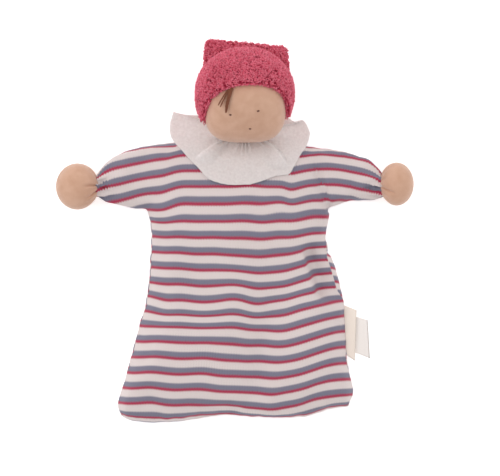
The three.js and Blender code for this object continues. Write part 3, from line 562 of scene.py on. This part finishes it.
# Hands: a disc of skin-coloured jersey drawn over a ball of wool and gathered into the wrist,
# where a thread ties it and the sleeve is sewn round it.
SKIN_WALE = 0.8 * MM
SKIN_COURSE = 0.7 * MM
skin_jersey, tree, shader = new_material("skin_jersey", sheen=0.5, sheen_roughness=0.4)
knit_bump(tree, shader, SKIN_WALE, SKIN_COURSE, 0.3)
mottle = add_node(tree, "ShaderNodeTexCoord").outputs["Object"]
mottle = add_node(tree, "ShaderNodeTexNoise", {"Vector": mottle, "Scale": 140.0, "Detail": 3.0}).outputs[0]
skin = ramp(tree, mottle, [(0.3, linear(200, 157, 132)), (0.7, linear(210, 169, 145))])
tree.links.new(skin, shader.inputs["Base Color"])
HAND_GATHERS = 13
GATHER_DEPTH = 0.055
GATHER_REACH = 0.45
HAND_CREASE = 0.075
CREASE_TWIST = 0.4
HAND_AROUND = 144
HAND_ALONG = 44


def closed_grid(name, around, along, place, pattern_place):
    """A skin round an axis: rings of points from one pole to the other, with its own pattern coordinates."""
    mesh = bmesh.new()
    layer = mesh.loops.layers.uv.new("pattern")
    rings = []
    for j in range(1, along):
        rings.append([mesh.verts.new(place(i / around, j / along)) for i in range(around)])
    first = mesh.verts.new(place(0, 0))
    last = mesh.verts.new(place(0, 1))

    def face(corners):
        made = mesh.faces.new([corner[0] for corner in corners])
        for loop, corner in zip(made.loops, corners):
            loop[layer].uv = pattern_place(*corner[1:])

    for i in range(around):
        n = (i + 1) % around
        a, b = i / around, (i + 1) / around
        face([(first, a, 0), (rings[0][n], b, 1 / along), (rings[0][i], a, 1 / along)])
        for j in range(1, along - 1):
            low, high = j / along, (j + 1) / along
            face([(rings[j - 1][i], a, low), (rings[j - 1][n], b, low),
                  (rings[j][n], b, high), (rings[j][i], a, high)])
        face([(rings[-1][i], a, 1 - 1 / along), (rings[-1][n], b, 1 - 1 / along), (last, a, 1)])
    bmesh.ops.recalc_face_normals(mesh, faces=mesh.faces)
    made = object_from(mesh, name)
    made.data.materials.append(skin_jersey)
    return made


def build_hand(side, sign, middle, half, creases):
    """A gathered ball whose axis leaves the wrist. A crease is a turn about it, a reach and a depth."""
    def place(turn, share):
        bend = math.pi * share
        around = 2 * math.pi * turn
        wide = math.sin(bend)
        close = 1 - ease(0.0, GATHER_REACH, share)
        fold = GATHER_DEPTH * close * math.cos(HAND_GATHERS * around + 2 * math.sin(3 * around))
        for crease, reach, depth in creases:
            apart = math.remainder(around - crease - CREASE_TWIST * share, 2 * math.pi)
            fold -= depth * (1 - ease(0.5 * reach, reach, share)) * bell(apart, 0, HAND_CREASE)
        wide *= 1 + fold
        along = -math.cos(bend)
        return Vector(middle) * MM + Vector((sign * along * half[0], wide * half[1] * math.cos(around),
                                             wide * half[2] * math.sin(around))) * MM

    size = half[1] * MM
    hand = closed_grid("hand_" + side, HAND_AROUND, HAND_ALONG, place,
                       lambda turn, share: (2 * math.pi * size * turn, math.pi * size * share))
    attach(hand, "hand_" + side)
    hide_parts("hand_skin_" + side, "hand_wool_" + side, "wrist_thread_" + side)


build_hand("left", -1, (-105.4, 30.2, 14.2), (13.9, 15.0, 13.9), [(1.42, 0.44, 0.3), (2.05, 0.38, 0.26)])
build_hand("right", 1, (101.6, 31.8, 14.2), (11.0, 14.0, 13.6), [(1.85, 0.5, 0.3), (1.1, 0.3, 0.2)])

# Head: a firm ball of wool in a tube of skin-coloured jersey, its knit running up the face,
# tied off at the neck. It leans back so that the face looks half up from the table.
HEAD_MIDDLE = Vector((3.2, 87.6, 32.71))
HEAD_UP = Vector((0, 0.743145, 0.669131))
HEAD_FORE = Vector((0, -0.669131, 0.743145))
HEAD_SIDE = Vector((1, 0, 0))
HEAD_HALF = (26.7, 29.0, 27.0)
HEAD_SQUARE = 2.3
HEAD_REACH = 29.35   # from its middle to the lowest part of the chin in the picture
CHIN_SQUARE = 3.2
HEAD_AROUND = 112
HEAD_ALONG = 72


def cheek(y):
    """How much wider the head is than a plain ball shape, from its middle down to the chin."""
    down = min(max((HEAD_MIDDLE.y - y) / HEAD_REACH, 0.0), 0.985)
    return (1 - down ** CHIN_SQUARE) ** (1 / CHIN_SQUARE) / (1 - down ** HEAD_SQUARE) ** (1 / HEAD_SQUARE)


def head_place(turn, share, grow=0.0):
    """A place on the head or so far outside it, from a turn about its axis and a share from chin to crown."""
    around, bend = 2 * math.pi * turn, math.pi * share
    way = (math.sin(bend) * math.sin(around), -math.cos(bend), math.sin(bend) * math.cos(around))
    halves = [half + grow for half in HEAD_HALF]
    size = sum(abs(w / h) ** HEAD_SQUARE for w, h in zip(way, halves)) ** (-1 / HEAD_SQUARE)
    apart = (HEAD_SIDE * way[0] + HEAD_UP * way[1] + HEAD_FORE * way[2]) * size
    apart.x *= cheek(HEAD_MIDDLE.y + apart.y)
    return (HEAD_MIDDLE + apart) * MM


HEAD_GIRTH = 2 * math.pi * HEAD_HALF[0] * MM
HEAD_LENGTH = math.pi * HEAD_HALF[1] * MM
head = closed_grid("head", HEAD_AROUND, HEAD_ALONG, head_place,
                   lambda turn, share: (HEAD_GIRTH * turn, HEAD_LENGTH * share))
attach(head, "head")
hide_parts("head_skin", "head_wool")
NECK = Vector((3.2, 63.076, 10.629))
NECK_RADIUS = 8.2
NECK_FOOT, NECK_TOP = -7.0, 8.0
NECK_GATHERS = 16
NECK_GATHER_DEPTH = 0.05
NECK_GIRTH = 50 * MM
NECK_LENGTH = 15 * MM
NECK_AROUND = 64
NECK_ALONG = 16


def neck_place(turn, share):
    """A place on the stuffed end of the skin tube, which closes at both ends."""
    around = 2 * math.pi * turn
    gathered = 1 + NECK_GATHER_DEPTH * math.cos(NECK_GATHERS * around)
    wide = NECK_RADIUS * gathered * math.sin(math.pi * share) ** 0.5
    return (NECK + HEAD_UP * mix(NECK_FOOT, NECK_TOP, share)
            + (HEAD_SIDE * math.sin(around) + HEAD_FORE * math.cos(around)) * wide) * MM


neck = closed_grid("neck", NECK_AROUND, NECK_ALONG, neck_place,
                   lambda turn, share: (turn * NECK_GIRTH, share * NECK_LENGTH))
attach(neck, "neck")
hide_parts("neck_tube", "neck_thread")

# Face: two eyes and a mouth, each a single short stitch of dark thread
# that lies close on the skin.
dark_thread, _, shader = new_material("dark_thread", roughness=0.7)
shader.inputs["Base Color"].default_value = linear(104, 72, 62)
ABOVE = 0.2  # a height over the whole doll
bpy.context.view_layer.update()


def on_head(x, y):
    """The place and outward way of the head's skin, straight down from above, in metres."""
    _, place, normal, _ = head.ray_cast(Vector((x * MM, y * MM, ABOVE)), Vector((0, 0, -1)))
    return place, normal


# Each stitch: its node, place, way, half length and half width
STITCHES = [("eye_left", (-6.0, 75.3), (1.0, 0.1), 0.85, 0.6),
            ("eye_right", (11.7, 77.7), (1.0, 0.2), 0.9, 0.6),
            ("mouth", (6.6, 66.6), (1.0, -0.1), 0.75, 0.55)]
STITCH_THICK = 0.5
STITCH_LIFT = 0.1
for name, place, way, half_length, half_width in STITCHES:
    middle, normal = on_head(*place)
    along = Vector((*way, 0))
    along = (along - normal * along.dot(normal)).normalized()
    mesh = bmesh.new()
    bmesh.ops.create_uvsphere(mesh, u_segments=20, v_segments=12, radius=1.0)
    turn = Matrix((along, normal.cross(along), normal)).transposed().to_4x4()
    size = Matrix.Diagonal((half_length * MM, half_width * MM, STITCH_THICK * MM, 1))
    lifted = Matrix.Translation(middle + normal * STITCH_LIFT * MM)
    bmesh.ops.transform(mesh, matrix=lifted @ turn @ size, verts=mesh.verts)
    stitch = object_from(mesh, "stitch_" + name)
    stitch.data.materials.append(dark_thread)
    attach(stitch, "head")
    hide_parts(name)

# Hair: four strands of brown mohair yarn, caught at one root under the brim,
# each twisted from a few fibres and falling loose over the forehead.
brown_yarn, _, shader = new_material("brown_yarn", roughness=0.75, sheen=0.1)
shader.inputs["Base Color"].default_value = linear(124, 74, 52)
ROOT = (-3.4, 95.6)
# Each strand: the point that it bends towards, its tip, and the radius of its fibres
STRANDS = [((-10.6, 86.9), (-12.6, 81.9), 0.24), ((-9.6, 86.2), (-11.4, 80.9), 0.24),
           ((-8.4, 86.0), (-8.2, 77.5), 0.38), ((-6.8, 85.1), (-7.8, 78.2), 0.32)]
FIBRES = 5
FIBRE_TURNS = 1.6
FIBRE_SPREAD = 1.6
ROOT_LIFT, TIP_LIFT = 0.75, 1.2
STRAND_STEPS = 16
for index, (middle, tip, fibre_radius) in enumerate(STRANDS, 1):
    curve = bpy.data.curves.new("hair", "CURVE")
    curve.dimensions = "3D"
    curve.bevel_depth = fibre_radius * MM
    curve.bevel_resolution = 2
    curve.use_fill_caps = True
    for fibre in range(FIBRES):
        spline = curve.splines.new("POLY")
        spline.points.add(STRAND_STEPS)
        for step, point in enumerate(spline.points):
            t = step / STRAND_STEPS
            x = (1 - t) ** 2 * ROOT[0] + 2 * t * (1 - t) * middle[0] + t * t * tip[0]
            y = (1 - t) ** 2 * ROOT[1] + 2 * t * (1 - t) * middle[1] + t * t * tip[1]
            turn = 2 * math.pi * (fibre / FIBRES + FIBRE_TURNS * t)
            spread = FIBRE_SPREAD * fibre_radius * (1 - 0.4 * t)
            place, normal = on_head(x + spread * math.cos(turn), y)
            lift = ROOT_LIFT + TIP_LIFT * t + spread * math.sin(turn)
            point.co = (*(place + normal * lift * MM), 1)
            point.radius = 1 - 0.45 * t
    strand = bpy.data.objects.new("hair_%d" % index, curve)
    bpy.context.scene.collection.objects.link(strand)
    bpy.ops.object.select_all(action="DESELECT")
    strand.select_set(True)
    bpy.context.view_layer.objects.active = strand
    bpy.ops.object.convert(target="MESH")
    strand = bpy.context.object
    strand.data.materials.append(brown_yarn)
    strand.data.shade_smooth()
    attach(strand, "head")
    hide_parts("hair_strand_%d" % index)

# Hat: a front and a back panel of looped pink terry, sewn round the top and sides into a bag whose
# two square corners stand out behind the crown, and pulled down over the head.
HAT_WALL = 3.4
HAT_END = 0.5
HAT_LOW, HAT_FULL = 66, 88
CROWN_START, CROWN_END = 94, 117
BRIM_WALL = 1.7
BRIM_REACH = 10.0
BRIM_WAY = Vector((-0.09, 0.809, -0.587)).normalized()
BRIM_BACK = 11.25
NAPE_BACK = 9.8
SEAM_DROOP = 0.19
HAT_SEAM = Vector((3.2, 96.0, 29.5))
SEAM_WAY = Vector((0, SEAM_DROOP, 1.0)).normalized()
# Corners of the bag behind the crown: place, and share of the thickness there
CORNERS = [(-22.8, 92.0, 1.0), (30.8, 90.0, 1.0), (29.0, 118.4, 0.6), (-20.6, 123.4, 0.6)]
CORNER_THICK = 2.4
HAT_AROUND = 80
HAT_ALONG = 48
HAT_VOXEL = 1.0 * MM
HAT_FLOOR = 1.5 * MM  # room for the pile over the table
TERRY = 1.6 * MM
pink_terry, tree, shader = new_material("pink_terry", sheen=0.1)
# Painted shade and light: the colour runs from a dark raspberry at the loops' roots, standing in for the
# shade between them, to a light pink at their tops, standing in for the light on them. The bare cloth under
# the loops has no tip value, so it takes the darkest colour as painted shade between the loops.
tip = add_node(tree, "ShaderNodeAttribute", attribute_name="tip").outputs["Fac"]
pink_with_painted_shade = ramp(tree, tip, [(0.0, linear(188, 44, 75)), (0.45, linear(213, 64, 94)),
                        (1.0, linear(246, 137, 157))])
tree.links.new(pink_with_painted_shade, shader.inputs["Base Color"])


def dome_place(turn, share):
    """A place on the outside of the hat, which lies closer at its brim, lower ends and crown."""
    place = head_place(turn, share) / MM
    behind_brim = (place - HEAD_MIDDLE).dot(BRIM_WAY) + BRIM_BACK
    wall = mix(BRIM_WALL, HAT_WALL, ease(0, BRIM_REACH, behind_brim))
    full = ease(HAT_LOW, HAT_FULL, place.y) * (1 - ease(CROWN_START, CROWN_END, place.y))
    return head_place(turn, share, mix(HAT_END, wall, full))


hat_mesh = bmesh.new()
dome_rings = []
for j in range(1, HAT_ALONG):
    places = [dome_place(i / HAT_AROUND, j / HAT_ALONG) for i in range(HAT_AROUND)]
    dome_rings.append([hat_mesh.verts.new(place) for place in places])
poles = [hat_mesh.verts.new(dome_place(0, end)) for end in (0, 1)]
for i in range(HAT_AROUND):
    n = (i + 1) % HAT_AROUND
    hat_mesh.faces.new([poles[0], dome_rings[0][n], dome_rings[0][i]])
    hat_mesh.faces.new([dome_rings[-1][i], dome_rings[-1][n], poles[1]])
    for low, high in zip(dome_rings, dome_rings[1:]):
        hat_mesh.faces.new([low[i], low[n], high[n], high[i]])
corner_points = []
for level in (-1, 1):
    for x, y, share in CORNERS:
        z = HAT_SEAM.z - SEAM_DROOP * (y - HAT_SEAM.y) + level * CORNER_THICK * share
        corner_points.append(hat_mesh.verts.new(Vector((x, y, z)) * MM))
hat_mesh.faces.new(corner_points[3::-1])
hat_mesh.faces.new(corner_points[4:])
for i in range(4):
    n = (i + 1) % 4
    hat_mesh.faces.new([corner_points[i], corner_points[n], corner_points[4 + n], corner_points[4 + i]])
bmesh.ops.recalc_face_normals(hat_mesh, faces=hat_mesh.faces)
hat = object_from(hat_mesh, "hat")
change(hat, "REMESH", mode="VOXEL", voxel_size=HAT_VOXEL)
change(hat, "SMOOTH", factor=0.5, iterations=2)
for vertex in hat.data.vertices:
    vertex.co.z = max(vertex.co.z, HAT_FLOOR)

LOOP_HEIGHT = 2.0
LOOP_UNEVEN = (0.7, 1.15)
LOOP_BRIGHT = (0.7, 1.0)
LOOP_LEAN = 1.2
LOOP_WIDTH = 0.7
LOOP_YARN = 0.25
LOOP_STEPS = 4
LOOP_SIDES = 3
LOOPS = 8000


def shows(data, triangle):
    """Whether a triangle of the hat's cloth is on its outside or brim, and not inside or in its seam."""
    place = sum((data.vertices[v].co for v in triangle.vertices), Vector()) / 3 / MM
    outward = triangle.normal.dot((place - HEAD_MIDDLE).normalized())
    return outward > -0.3 and abs((place - HAT_SEAM).dot(SEAM_WAY)) > 0.05


def add_pile(cloth, name, count, seed):
    """Small upright loops of yarn, scattered over a cloth and leaning every way."""
    chance = random.Random(seed)
    data = cloth.data
    data.calc_loop_triangles()
    triangles = [triangle for triangle in data.loop_triangles if shows(data, triangle)]
    mesh_points, mesh_faces, loop_tone_and_painted_shade = [], [], []
    for triangle in chance.choices(triangles, weights=[t.area for t in triangles], k=count):
        a, b, c = (data.vertices[v].co for v in triangle.vertices)
        first, second = sorted((chance.random(), chance.random()))
        root = a * first + b * (second - first) + c * (1 - second)
        normal = triangle.normal
        way = normal.orthogonal()
        way.rotate(Matrix.Rotation(chance.uniform(0, 2 * math.pi), 3, normal))
        lean = normal.cross(way) * chance.uniform(-LOOP_LEAN, LOOP_LEAN)
        height = LOOP_HEIGHT * chance.uniform(*LOOP_UNEVEN) * MM
        bright = chance.uniform(*LOOP_BRIGHT)
        begin = len(mesh_points)
        for step in range(LOOP_STEPS + 1):
            angle = math.pi * step / LOOP_STEPS
            stand = (normal + lean) * math.sin(angle) * height
            centre = root + way * math.cos(angle) * LOOP_WIDTH * MM + stand
            out = way * math.cos(angle) + normal * math.sin(angle)
            flank = normal.cross(way)
            for corner in range(LOOP_SIDES):
                spin = 2 * math.pi * corner / LOOP_SIDES
                point = centre + (out * math.cos(spin) + flank * math.sin(spin)) * LOOP_YARN * MM
                mesh_points.append((point.x, point.y, max(point.z, 0.0)))
                # Each loop's own random tone, darkened towards its root as painted shade and lightest at its
                # top as painted light.
                loop_tone_and_painted_shade.append(bright * math.sin(angle))
        for step in range(LOOP_STEPS):
            for corner in range(LOOP_SIDES):
                near, far = begin + step * LOOP_SIDES, begin + (step + 1) * LOOP_SIDES
                other = (corner + 1) % LOOP_SIDES
                mesh_faces.append((near + corner, near + other, far + other, far + corner))
    made = bpy.data.meshes.new(name)
    made.from_pydata(mesh_points, [], mesh_faces)
    made.attributes.new("tip", "FLOAT", "POINT").data.foreach_set("value", loop_tone_and_painted_shade)
    pile = bpy.data.objects.new(name, made)
    bpy.context.scene.collection.objects.link(pile)
    made.shade_smooth()
    return pile


def cut_away(mesh, plane, way):
    """Cuts a mesh with a plane and keeps the side that the way points to."""
    bmesh.ops.bisect_plane(mesh, geom=mesh.verts[:] + mesh.edges[:] + mesh.faces[:], dist=1e-6,
                           plane_co=plane * MM, plane_no=way, clear_inner=True)


for side, node, keep, cut, seed in (("front", "hat_front", 1, (0.085, 0.06), 7),
                                    ("back", "hat_back", -1, (0.075, 0.048), 8)):
    mesh = bmesh.new()
    mesh.from_mesh(hat.data)
    cut_away(mesh, HAT_SEAM, SEAM_WAY * keep)
    cut_away(mesh, HEAD_MIDDLE - HEAD_UP * NAPE_BACK, HEAD_UP)
    cut_away(mesh, HEAD_MIDDLE - BRIM_WAY * BRIM_BACK, BRIM_WAY)
    panel_cloth = object_from(mesh, "hat_" + side + "_cloth")
    change(panel_cloth, "SOLIDIFY", thickness=TERRY, offset=-1)
    pile = add_pile(panel_cloth, "hat_" + side + "_pile", LOOPS, seed)
    for piece in (panel_cloth, pile):
        piece.data.materials.append(pink_terry)
        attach(piece, "head")
    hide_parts(node)
bpy.data.objects.remove(hat)

# Collar: a strip of white terry gathered tightly round the neck, so that it lies out over the chest
# and stands away from the shoulders in a soft ruffle.
COLLAR_MIDDLE = NECK + HEAD_UP * 2.0
COLLAR_NECK = 9.3
OUTLINE = [(-43.2, 78.6), (-45.0, 72.0), (-45.4, 65.6), (-43.6, 60.2), (-38.9, 55.1), (-32.0, 47.4),
           (-26.2, 41.3), (-20.9, 35.4), (-14.0, 32.6), (-6.9, 31.2), (5.8, 31.5), (12.4, 33.0),
           (18.7, 35.2), (23.6, 37.0), (28.2, 37.6), (32.2, 38.4), (35.4, 44.0), (39.2, 50.6),
           (43.0, 56.8), (45.0, 62.0), (45.2, 65.8), (41.0, 73.0), (35.0, 72.4), (28.5, 77.0),
           (16.0, 78.0), (3.0, 78.0), (-10.0, 78.0), (-22.7, 76.5), (-34.0, 76.6)]
COLLAR_AROUND = 260
COLLAR_OUT = 44
COLLAR_THICK = 1.5 * MM
COLLAR_FLUFF = 0.3
LOBE_RISE = 3.6  # the front hangs over the standing sides
FRONT_EDGE, SIDE_EDGE, REAR_EDGE = 19.5, 15.0, 6.0  # heights of the free edge
SIDE_ROOT, REAR_ROOT = 20.5, 12.0                   # heights beside the neck
FRONT_ARCH = 2.4
GATHERS = 19
GATHER_HEIGHT = 0.6
EDGE_WAVE = 1.6
CLOTH_GAP = 1.6
white_terry, tree, shader = new_material("white_terry", sheen=0.4)
fluff = add_node(tree, "ShaderNodeTexCoord").outputs["Object"]
fluff = add_node(tree, "ShaderNodeTexNoise", {"Vector": fluff, "Scale": 700.0, "Detail": 3.0}).outputs[0]
shader.inputs["Subsurface Weight"].default_value = 0.5
shader.inputs["Subsurface Radius"].default_value = (1.0, 0.9, 0.9)
shader.inputs["Subsurface Scale"].default_value = 4 * MM
white = ramp(tree, fluff, [(0.3, linear(218, 207, 205)), (0.7, linear(228, 218, 216))])
tree.links.new(white, shader.inputs["Base Color"])
bump = add_node(tree, "ShaderNodeBump", {"Height": fluff, "Strength": 0.5, "Distance": 0.5 * MM})
tree.links.new(bump.outputs[0], shader.inputs["Normal"])
bpy.context.view_layer.update()


def chest_height(x, y):
    """Height of the front panel under a place, or 0 beside it, in millimetres."""
    hit, place, _, _ = jersey_front.ray_cast(Vector((x * MM, y * MM, ABOVE)), Vector((0, 0, -1)))
    return place.z / MM if hit else 0.0


collar_edge = [through(OUTLINE + OUTLINE[:1], i / COLLAR_AROUND) for i in range(COLLAR_AROUND)]


def collar_place(i, j):
    """A place on the collar from its step round the neck and its step outwards."""
    out = j / COLLAR_OUT
    edge = collar_edge[i]
    apart = edge - COLLAR_MIDDLE.to_2d().to_3d()
    turn = math.atan2(apart.x, -apart.y)
    neck_edge = COLLAR_MIDDLE + (HEAD_SIDE * math.sin(turn) + HEAD_FORE * math.cos(turn)) * COLLAR_NECK
    flat_place = mix(neck_edge.to_2d(), edge.to_2d(), out)
    degrees = math.degrees(turn)
    front = 1 - ease(55, 95, abs(degrees))
    rear = ease(100, 150, abs(degrees))
    outer = mix(mix(SIDE_EDGE, REAR_EDGE, rear), FRONT_EDGE, front)
    inner = mix(mix(SIDE_ROOT, REAR_ROOT, rear), neck_edge.z, front)
    z = mix(mix(neck_edge.z, inner, ease(0, 0.2, out)), outer, ease(0.1, 0.9, out))
    z += FRONT_ARCH * front * math.sin(math.pi * out)
    lobe_end = mix(72, 50, out) if degrees > 0 else mix(-74, -62, out)
    past = abs(degrees) - abs(lobe_end)
    lobe = ease(-28, -2, past) * (1 - ease(-1, 1.5, past))
    z += LOBE_RISE * lobe * math.sin(math.pi * min(out * 1.1, 1)) ** 0.7
    gathers = math.sin(GATHERS * turn + 3 * math.sin(5 * turn))
    z += GATHER_HEIGHT * (1 - ease(0.1, 0.6, out)) * gathers
    z += EDGE_WAVE * ease(0.3, 1, out) * noise.noise(Vector((turn * 2.4, out * 1.3, 2.0)))
    z = max(z, chest_height(*flat_place) + CLOTH_GAP, CLOTH_GAP)
    z += COLLAR_FLUFF * noise.noise(Vector((*flat_place, z)) / 1.7)
    return Vector((*flat_place, z)) * MM


collar_mesh = bmesh.new()
rings = []
for j in range(COLLAR_OUT + 1):
    rings.append([collar_mesh.verts.new(collar_place(i, j)) for i in range(COLLAR_AROUND)])
for low, high in zip(rings, rings[1:]):
    for i in range(COLLAR_AROUND):
        n = (i + 1) % COLLAR_AROUND
        collar_mesh.faces.new([low[i], high[i], high[n], low[n]])
collar = object_from(collar_mesh, "collar_ruffle")
change(collar, "SOLIDIFY", thickness=COLLAR_THICK, offset=-1)
collar.data.materials.append(white_terry)
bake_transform(collar)
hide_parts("collar")

# Labels: a cream tape folded in half and a white one under it, both woven and bare,
# with their ends caught together in the right side seam.
TAPE = 0.4 * MM
FOLD_HALF = 0.55  # half the distance between a tape's two layers at the seam
LABEL_ROWS = 28
LABEL_COLUMNS = 12
cream_tape, _, shader = new_material("cream_tape", roughness=0.8)
shader.inputs["Base Color"].default_value = linear(246, 233, 221)
white_tape, _, shader = new_material("white_tape", roughness=0.8)
shader.inputs["Base Color"].default_value = linear(244, 236, 231)


def build_label(name, node, finish, corners, heights, curl):
    """A tape from its seam corners (top, foot) to its free corners (top, foot), folded back under itself."""
    top_seam, foot_seam, top_free, foot_free = (Vector(corner) for corner in corners)
    mesh = bmesh.new()
    grid = []
    for j in range(LABEL_ROWS + 1):
        down = j / LABEL_ROWS
        line = []
        for i in range(2 * LABEL_COLUMNS + 1):
            across = i / LABEL_COLUMNS
            out = across if across <= 1 else 2 - across
            place = mix(mix(top_seam, foot_seam, down), mix(top_free, foot_free, down), out)
            lift = mix(heights[0], heights[1], out) + curl * math.sin(math.pi * down) * out * out
            layer = math.cos(math.pi / 2 * across) if out > 0 else (1 if across < 1 else -1)
            gap = FOLD_HALF * layer
            line.append(mesh.verts.new(Vector((place.x, place.y, lift + gap)) * MM))
        grid.append(line)
    for low, high in zip(grid, grid[1:]):
        for i in range(2 * LABEL_COLUMNS):
            mesh.faces.new([low[i], high[i], high[i + 1], low[i + 1]])
    label = object_from(mesh, name)
    change(label, "SOLIDIFY", thickness=TAPE, offset=-1)
    label.data.materials.append(finish)
    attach(label, "labels")
    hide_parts(node)


build_label("label_cream", "side_label", cream_tape,
            [(67.0, -46.6), (69.5, -79.4), (75.9, -50.1), (74.7, -83.0)], (4.2, 4.6), 0.4)
build_label("label_white", "care_label", white_tape,
            [(68.8, -52.4), (70.2, -75.9), (83.2, -56.6), (84.6, -81.6)], (3.0, 2.4), 0.6)

bpy.data.objects.remove(bag)
